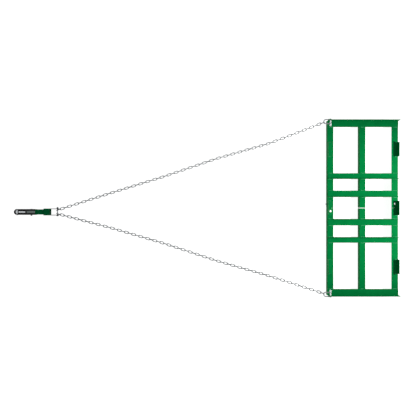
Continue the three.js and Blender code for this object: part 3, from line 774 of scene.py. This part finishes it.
pattern = link_pattern()
roll = random.Random(7)
for side, sign in SIDES:
    corners = chain_corners(side, sign)
    for zone in range(ZONES):
        run = corners[zone + 1] - corners[zone]
        pitch = run.length / LINKS
        heading = run.normalized()
        level = Vector((heading.y, -heading.x, 0)).normalized()
        upright = heading.cross(level)
        links = []
        for index in range(LINKS):
            count = zone * LINKS + index
            across = upright if count % 2 == 0 else level
            normal = heading.cross(across)
            turn = Matrix((heading, across, normal)).transposed().to_4x4()
            end_link = index in (0, LINKS - 1)
            lean = 0 if end_link else roll.uniform(-LINK_ROLL, LINK_ROLL)
            turn = turn @ Matrix.Rotation(math.radians(lean), 4, "X")
            link = pattern.copy()
            link.data = pattern.data.copy()
            stretch = (pitch + LINK_WIRE) / 2 - LINK_RADIUS
            for vert in link.data.vertices:
                vert.co.x += math.copysign(stretch * MM, vert.co.x)
            middle = corners[zone] + heading * (index + 0.5) * pitch
            link.data.transform(Matrix.Translation(middle * MM) @ turn)
            bpy.context.scene.collection.objects.link(link)
            links.append(link)
        node = "chain_%s_%d" % (side, zone + 1)
        chain = gather(node + "_links", links)
        smooth(chain, angle=80)
        finish_piece(chain, chain_zinc, "bridle_%d" % (zone + 1), [node])
bpy.data.objects.remove(pattern)

# Clevis tabs: two pieces of 6 mm flat bar with round ends, welded to the end of the sleeve and
# flush with its sides. Their zinc is duller than that of the bolt, which goes through both and
# carries the last link of each chain.
dull_zinc = zinc_plate("flat bar zinc plated dull", "#3f4244", "#323537", 0.8, 0.5)
TAB_WALL = 6.0
TAB_HEIGHT = 36.0
TAB_BORE = 6.5
SLEEVE_SIZE = 66.0
for side, sign in SIDES:
    middle = HITCH_Y + sign * (SLEEVE_SIZE - TAB_WALL) / 2
    tab = add_block(
        "clevis_tab_" + side + "_sawn",
        (SLEEVE_END + SEAT, middle - TAB_WALL / 2, CLEVIS.z - TAB_HEIGHT / 2),
        (CLEVIS.x + TAB_HEIGHT / 2, middle + TAB_WALL / 2, CLEVIS.z + TAB_HEIGHT / 2),
    )
    round_edges(
        tab, lambda edge: edge_runs(edge, AXIS["y"]) and edge_middle(edge).x > CLEVIS.x * MM,
        TAB_HEIGHT / 2 - 0.1, steps=12,
    )
    bore(tab, add_rod("drill", TAB_BORE, THROUGH, (CLEVIS.x, middle, CLEVIS.z), "y"))
    ease(tab, width=0.8, angle_limit=0.9)
    smooth(tab)
    finish_piece(tab, dull_zinc, "tongue", ["clevis_tab_" + side])

LEFT_TURN = Matrix.Rotation(math.pi / 2, 4, "Z")
bolt_pair(
    "clevis_bolt", "clevis_nut", CLEVIS_RADIUS, SLEEVE_SIZE + 2 * SEAT,
    (CLEVIS.x, HITCH_Y - SLEEVE_SIZE / 2 - SEAT, CLEVIS.z), LEFT_TURN, 6.0, "tongue",
)

# Tongue tube and the sleeve on its rear end: square tube, cold formed from strip, so the corners
# are round, 6 mm on the outside. They are welded together and were coated apart from the frame,
# in a deeper green.
tongue_coat = powder_coat("powder coat deep green baked", "#00592f", "#00522b")
TUBE_SIZE = 50.0
TUBE_WALL = 4.0
TUBE_ROUND = 6.0
SLEEVE_WALL = 7.5
SLEEVE_FRONT = SLEEVE_END - SLEEVE_LENGTH
TUBE_FRONT = TIP + 98.0
SIDE_BOLT = Vector((TIP + 0.79 * COUPLER_LENGTH, HITCH_Y, CLEVIS.z))
SIDE_BORE = 5.5
ACROSS = 90.0
OVERRUN = 5.0
TUBE_BEAD = 20.0
TAB_BEAD = 15.0
BEAD_STAND = 1.0
TONGUE_BEAD_RADIUS = 4.0


def square_tube(name, size, wall, low_x, high_x):
    """Cold formed tube along X, round outside and inside at its four corners."""
    half = size / 2
    tube = add_block(
        name, (low_x, HITCH_Y - half, CLEVIS.z - half), (high_x, HITCH_Y + half, CLEVIS.z + half)
    )
    hole = add_block(
        "hollow",
        (low_x - OVERRUN, HITCH_Y - half + wall, CLEVIS.z - half + wall),
        (high_x + OVERRUN, HITCH_Y + half - wall, CLEVIS.z + half - wall),
    )
    for piece, radius in ((tube, TUBE_ROUND), (hole, 0.8 * wall)):
        round_edges(piece, lambda edge: edge_runs(edge, AXIS["x"]), radius, steps=5)
    bore(tube, hole)
    return tube


sleeve = square_tube("receiver_sleeve_formed", SLEEVE_SIZE, SLEEVE_WALL, SLEEVE_FRONT, SLEEVE_END)
tube = square_tube("tongue_tube_formed", TUBE_SIZE, TUBE_WALL, TUBE_FRONT, SLEEVE_END - SEAT)
bore(tube, add_rod("drill", SIDE_BORE, ACROSS, SIDE_BOLT, "y"))
for piece, node in ((sleeve, "receiver_sleeve"), (tube, "tongue_tube")):
    ease(piece, width=0.6, angle_limit=1.0)
    smooth(piece)
    finish_piece(piece, tongue_coat, "tongue", [node])

pattern = bead_pattern()
beads = []
front_x = SLEEVE_FRONT - BEAD_STAND
rear_x = SLEEVE_END + BEAD_STAND
reach = TUBE_SIZE / 2 + BEAD_STAND
for way in (-1, 1):
    for start, end in (
        ((-TUBE_BEAD, way * reach), (TUBE_BEAD, way * reach)),
        ((way * reach, -TUBE_BEAD), (way * reach, TUBE_BEAD)),
    ):
        lay_bead(
            pattern, beads,
            (front_x, HITCH_Y + start[0], CLEVIS.z + start[1]),
            (front_x, HITCH_Y + end[0], CLEVIS.z + end[1]), TONGUE_BEAD_RADIUS,
        )
    tab_y = HITCH_Y + way * (SLEEVE_SIZE / 2 - TAB_WALL - BEAD_STAND / 2)
    lay_bead(
        pattern, beads,
        (rear_x, tab_y, CLEVIS.z - TAB_BEAD), (rear_x, tab_y, CLEVIS.z + TAB_BEAD),
    )
tongue_welds = gather("weld_beads_tongue", beads)
smooth(tongue_welds, angle=60)
finish_piece(tongue_welds, tongue_coat, "tongue", [])
bpy.data.objects.remove(pattern)

# Black dip coat on the coupler: a thin satin enamel over pressed steel, greyer where hands and
# the ball rub it, in patches about 18 mm across.
DIP_RUB = 18.0
black_dip, shader = new_material("enamel black dipped satin")
place = add_node(black_dip, "ShaderNodeTexCoord")
rub = add_node(
    black_dip, "ShaderNodeTexNoise", [("Scale", 1 / (DIP_RUB * MM)), ("Detail", 5.0)],
    [("Vector", place, "Object")],
)
colour = add_node(black_dip, "ShaderNodeValToRGB", (), [("Fac", rub, "Fac")])
colour.color_ramp.elements[0].position = 0.4
colour.color_ramp.elements[0].color = linear("#0c0f0e")
colour.color_ramp.elements[1].position = 0.75
colour.color_ramp.elements[1].color = linear("#1d2120")
skin = add_node(
    black_dip, "ShaderNodeBump", [("Strength", 0.1), ("Distance", 0.2 * MM)],
    [("Height", rub, "Fac")],
)
set_shader(
    black_dip, shader, [("Roughness", 0.42), ("IOR", 1.5)],
    [("Base Color", colour, "Color"), ("Normal", skin, "Normal")],
)

# Coupler housing: one steel pressing with a round nose, pushed over the tongue tube and held by
# one bolt across both. Its ball socket opens underneath, and two ears on top carry the latch pin.
COUPLER_HALF = 28.1
COUPLER_END = TIP + COUPLER_LENGTH
HOUSING_TOP = 61.1
HOUSING_WALL = 2.6
BALL = Vector((TIP + 31, HITCH_Y, 29.0))
SOCKET = 26.0
CHANNEL_X = BALL.x + SOCKET + HOUSING_WALL
CHANNEL_HALF = COUPLER_HALF - HOUSING_WALL
FOOT_WAY_HALF = 15.6
FOOT_WAY_TOP = 23.6
LATCH = Vector((TIP + 38, HITCH_Y, HOUSING_TOP + 14))
LATCH_BORE = 3.25
EAR_HALF = 8.0
EAR_WALL = 3.0
EAR_FOOT = 52.0
CLAMP_WALL = 12.0
CLAMP_X = CHANNEL_X + SEAT + CLAMP_WALL / 2
CLAMP_BORE = 4.5

# The rear half of a round block is drawn out flat to the coupler's end.
housing = add_rod(
    "coupler_housing_pressed", COUPLER_HALF, HOUSING_TOP,
    (TIP + COUPLER_HALF, HITCH_Y, HOUSING_TOP / 2), "z", 64,
)
pick(housing, "VERT", lambda vert: vert.co.x > (TIP + COUPLER_HALF + 0.5) * MM)
bpy.ops.transform.resize(value=(0, 1, 1), center_override=(COUPLER_END * MM, 0, 0))
round_edges(
    housing,
    lambda edge: min(v.co.z for v in edge.verts) > (HOUSING_TOP - 0.1) * MM
    and edge_middle(edge).x < (COUPLER_END - 1) * MM,
    radius=5, steps=5,
)


def add_ball(name, radius, middle):
    """A ball that the socket and the clamp are hollowed out with."""
    leave_all()
    bpy.ops.mesh.primitive_uv_sphere_add(
        segments=40, ring_count=20, radius=radius * MM, location=middle * MM
    )
    return settle(name)


bore(
    housing, add_ball("ball_room", SOCKET, BALL),
    add_rod("mouth", SOCKET, 2 * SOCKET, (BALL.x, HITCH_Y, BALL.z - SOCKET), "z", 40),
    add_block(
        "channel", (CHANNEL_X, HITCH_Y - CHANNEL_HALF, -OVERRUN),
        (COUPLER_END + OVERRUN, HITCH_Y + CHANNEL_HALF, HOUSING_TOP - HOUSING_WALL),
    ),
    add_block(
        "foot_way", (BALL.x, HITCH_Y - FOOT_WAY_HALF, -OVERRUN),
        (CHANNEL_X + OVERRUN, HITCH_Y + FOOT_WAY_HALF, FOOT_WAY_TOP),
    ),
)
for way in (-1, 1):
    outer_y = HITCH_Y + way * COUPLER_HALF
    ear = add_block(
        "ear", (LATCH.x - EAR_HALF, outer_y - way * EAR_WALL, EAR_FOOT),
        (LATCH.x + EAR_HALF, outer_y, LATCH.z + EAR_HALF),
    )
    round_edges(
        ear,
        lambda edge: edge_runs(edge, AXIS["y"]) and edge_middle(edge).z > HOUSING_TOP * MM,
        EAR_HALF - 0.5, steps=8,
    )
    weld_on(housing, ear)
bore(
    housing,
    add_rod("drill", LATCH_BORE, ACROSS, LATCH, "y"),
    add_rod("drill", CLAMP_BORE, THROUGH, (CLAMP_X, HITCH_Y, HOUSING_TOP), "z"),
    add_rod("drill", SIDE_BORE, ACROSS, SIDE_BOLT, "y"),
)
smooth(housing, angle=32)
finish_piece(housing, black_dip, "tongue", ["coupler_housing"])
bolt_pair(
    "coupler_bolt", "coupler_nut", SIDE_BORE - 0.5, 2 * COUPLER_HALF + 2 * SEAT,
    (SIDE_BOLT.x, HITCH_Y + COUPLER_HALF + SEAT, CLEVIS.z), LEFT_TURN.inverted(), 1.0, "tongue",
    domed=True,
)

# Latch: a zinc plated steel lever with a broad nose, on a cross pin between the ears. A dull grey
# vinyl grip with a fine grain is moulded over its handle, and a black collar closes the grip's
# front end. A small black band on the arm behind the nose is painted shade, where the nose and the
# ears shade the arm.
GRIP_GRAIN = 1.2
grip_grey, shader = new_material("vinyl sleeve grey moulded")
place = add_node(grip_grey, "ShaderNodeTexCoord")
grain = add_node(
    grip_grey, "ShaderNodeTexNoise", [("Scale", 1 / (GRIP_GRAIN * MM)), ("Detail", 2.0)],
    [("Vector", place, "Object")],
)
skin = add_node(
    grip_grey, "ShaderNodeBump", [("Strength", 0.2), ("Distance", 0.2 * MM)],
    [("Height", grain, "Fac")],
)
set_shader(
    grip_grey, shader,
    [("Base Color", linear("#6d7673")), ("Roughness", 0.55), ("IOR", 1.46)],
    [("Normal", skin, "Normal")],
)

LEVER_HALF = 7.0
LEVER_THICK = 4.0
LEVER_HUB = 6.0
NOSE_HALF = 14.0
NOSE_REACH = 12.0
GRIP_HALF = 9.5
GRIP_THICK = 9.0
GRIP_FRONT = TIP + 131.0
GRIP_REAR = COUPLER_END + 4.3
GRIP_ROUND = 3.5
COLLAR = (GRIP_FRONT - 11.5, GRIP_FRONT - 0.5, 11.0)
SHADE_SADDLE = (LATCH.x + 10.0, LATCH.x + 16.0, 13.0)
BAND_THICK = 11.0
BAND_ROUND = 3.0


def lever_block(name, low_x, high_x, half, thick):
    """A block along the lever, to either side of its middle plane."""
    return add_block(
        name, (low_x, HITCH_Y - half, LATCH.z - thick / 2),
        (high_x, HITCH_Y + half, LATCH.z + thick / 2),
    )


def lever_hollow(low_x, high_x):
    """The room that the lever's flat takes up inside a piece that sits on it."""
    return lever_block("hollow", low_x, high_x, LEVER_HALF + SEAT, LEVER_THICK + 2 * SEAT)


lever = add_rod("latch_lever_pressed", LEVER_HUB, 2 * NOSE_HALF, LATCH, "y")
arm = lever_block("arm", LATCH.x, COUPLER_END, LEVER_HALF, LEVER_THICK)
nose = lever_block("nose", LATCH.x - NOSE_REACH, LATCH.x, NOSE_HALF, LEVER_THICK)
round_edges(
    nose,
    lambda edge: edge_runs(edge, AXIS["z"]) and edge_middle(edge).x < (LATCH.x - 1) * MM,
    radius=9, steps=6,
)
weld_on(lever, arm, nose)
bore(lever, add_rod("drill", LATCH_BORE, ACROSS, LATCH, "y"))
ease(lever, width=0.7, angle_limit=0.9)
smooth(lever)
finish_piece(lever, satin_zinc, "lever", ["latch_lever"])

grip = lever_block("lever_grip_moulded", GRIP_FRONT, GRIP_REAR, GRIP_HALF, GRIP_THICK)
round_edges(grip, lambda edge: edge_runs(edge, AXIS["x"]), GRIP_ROUND, steps=5)
bore(grip, lever_hollow(GRIP_FRONT - OVERRUN, COUPLER_END + SEAT))
ease(grip, width=0.8, angle_limit=0.9)
smooth(grip)
finish_piece(grip, grip_grey, "lever", ["lever_grip"])

# The saddle band is black as painted shade behind the lever's nose.
for name, (low, high, half) in (
    ("lever_collar_moulded", COLLAR), ("lever_saddle_painted_shade", SHADE_SADDLE),
):
    band = lever_block(name, low, high, half, BAND_THICK)
    round_edges(band, lambda edge: edge_runs(edge, AXIS["x"]), BAND_ROUND, steps=4)
    bore(band, lever_hollow(low - OVERRUN, high + OVERRUN))
    smooth(band)
    finish_piece(band, black_dip, "lever", [])

LATCH_PIN = 3.0
RIVET_HEAD = 5.0
RIVET_WALL = 3.0
latch_pin = add_rod("latch_pin_turned", LATCH_PIN, 2 * COUPLER_HALF + RIVET_WALL, LATCH, "y")
for way in (-1, 1):
    head_y = HITCH_Y + way * (COUPLER_HALF + SEAT + RIVET_WALL / 2)
    head = add_rod("head", RIVET_HEAD, RIVET_WALL, (LATCH.x, head_y, LATCH.z), "y")
    ease(head, width=0.8, steps=3)
    weld_on(latch_pin, head)
smooth(latch_pin)
finish_piece(latch_pin, satin_zinc, "tongue", ["latch_pin"])

# Ball clamp: a forged foot that the lever draws up under the ball, hung on one bolt that goes up
# through the top of the housing. Its hollow is a little wider than the ball.
CLAMP_HALF = 15.0
CLAMP_FOOT = 12.0
CLAMP_TOP = 46.0
CLAMP_TOE_X = BALL.x + 16.0
CLAMP_TOE_TOP = 23.0
CLAMP_BOLT = 4.0
CLAMP_LIFT = 5.3
clamp = add_block(
    "ball_clamp_forged", (CLAMP_X - CLAMP_WALL / 2, HITCH_Y - CLAMP_HALF, CLAMP_FOOT),
    (CLAMP_X + CLAMP_WALL / 2, HITCH_Y + CLAMP_HALF, CLAMP_TOP),
)
toe = add_block(
    "toe", (CLAMP_TOE_X, HITCH_Y - CLAMP_HALF, CLAMP_FOOT),
    (CLAMP_X, HITCH_Y + CLAMP_HALF, CLAMP_TOE_TOP),
)
weld_on(clamp, toe)
bore(
    clamp, add_ball("ball_room", SOCKET + 2 * SEAT, BALL),
    add_rod("drill", CLAMP_BOLT + 0.25, ACROSS, (CLAMP_X, HITCH_Y, CLAMP_TOP / 2), "z"),
)
ease(clamp, width=0.8, angle_limit=0.9)
smooth(clamp)
finish_piece(clamp, black_dip, "clamp", ["ball_clamp"])
bolt_pair(
    "clamp_bolt", "clamp_nut", CLAMP_BOLT, HOUSING_TOP + CLAMP_LIFT - CLAMP_FOOT,
    (CLAMP_X, HITCH_Y, CLAMP_FOOT - SEAT), Matrix.Rotation(-math.pi / 2, 4, "Y"), 0.0, "clamp",
)

# Studio: a pale matte table of opal acrylic, lit softly from below, a lamp high behind the harrow,
# and pale walls all round, dimmer in front, under a darker ceiling. The camera looks straight
# down from 4.66 m, over the middle of the harrow.
SKY_BRIGHT = 1.16
SKY_TOP = 0.06
SKY_FRONT = 0.55
FLOOR_GLOW = 0.92
FLOOR_SIZE = 40
FLOOR_MOTTLE = 1 / 3
LAMP_PLACE = Vector((4.3, 0.0, 2.2))
LAMP_AIM = Vector((1.5, 0.0, 0.0))
LAMP_WATTS = 1250
LAMP_RADIUS = 0.25
LAMP_CONE = math.radians(38)
table_top, shader = new_material("opal acrylic matte pale")
place = add_node(table_top, "ShaderNodeTexCoord")
mottle = add_node(
    table_top, "ShaderNodeTexNoise", [("Scale", 1 / FLOOR_MOTTLE), ("Detail", 2.0)],
    [("Vector", place, "Object")],
)
tone = add_node(table_top, "ShaderNodeValToRGB", (), [("Fac", mottle, "Fac")])
tone.color_ramp.elements[0].color = linear("#a4a4a3")
tone.color_ramp.elements[1].color = linear("#a8a8a7")
set_shader(
    table_top, shader,
    [("Roughness", 0.9), ("Emission Color", linear("#ffffff")),
     ("Emission Strength", FLOOR_GLOW)],
    [("Base Color", tone, "Color")],
)
leave_all()
bpy.ops.mesh.primitive_plane_add(size=FLOOR_SIZE)
floor = settle("studio_floor")
floor.data.materials.append(table_top)

world = bpy.data.worlds.new("studio_sky")
world.use_nodes = True
way = add_node(world, "ShaderNodeTexCoord")
rise = add_node(world, "ShaderNodeSeparateXYZ", (), [("Vector", way, "Generated")])
glow = add_node(
    world, "ShaderNodeMapRange",
    [("From Min", 0.6), ("From Max", 0.92), ("To Min", SKY_BRIGHT), ("To Max", SKY_TOP)],
    [("Value", rise, "Z")],
)
side_glow = add_node(
    world, "ShaderNodeMapRange",
    [("From Min", -0.9), ("From Max", 0.3), ("To Min", SKY_FRONT), ("To Max", 1.0)],
    [("Value", rise, "X")],
)
strength = add_node(
    world, "ShaderNodeMath", [("operation", "MULTIPLY")],
    [(0, glow, "Result"), (1, side_glow, "Result")],
)
sky = world.node_tree.nodes["Background"]
sky.inputs["Color"].default_value = linear("#fbfcff")
world.node_tree.links.new(strength.outputs["Value"], sky.inputs["Strength"])
bpy.context.scene.world = world
bpy.context.scene.view_settings.view_transform = "Standard"
bpy.ops.object.light_add(type="SPOT", location=LAMP_PLACE)
lamp = bpy.context.object
lamp.data.energy = LAMP_WATTS
lamp.data.shadow_soft_size = LAMP_RADIUS
lamp.data.spot_size = LAMP_CONE
lamp.data.spot_blend = 1.0
lamp.rotation_euler = (LAMP_PLACE - LAMP_AIM).to_track_quat("Z", "Y").to_euler()

CAMERA_X = 14.7
CAMERA_HEIGHT = 4656.0
FOCAL_PIXELS = 480
PHOTO_PIXELS = 416
SENSOR = 36
bpy.ops.object.camera_add(location=(CAMERA_X * MM, 0, CAMERA_HEIGHT * MM))
camera = bpy.context.object
camera.data.sensor_width = SENSOR
camera.data.lens = SENSOR * FOCAL_PIXELS / PHOTO_PIXELS
bpy.context.scene.camera = camera
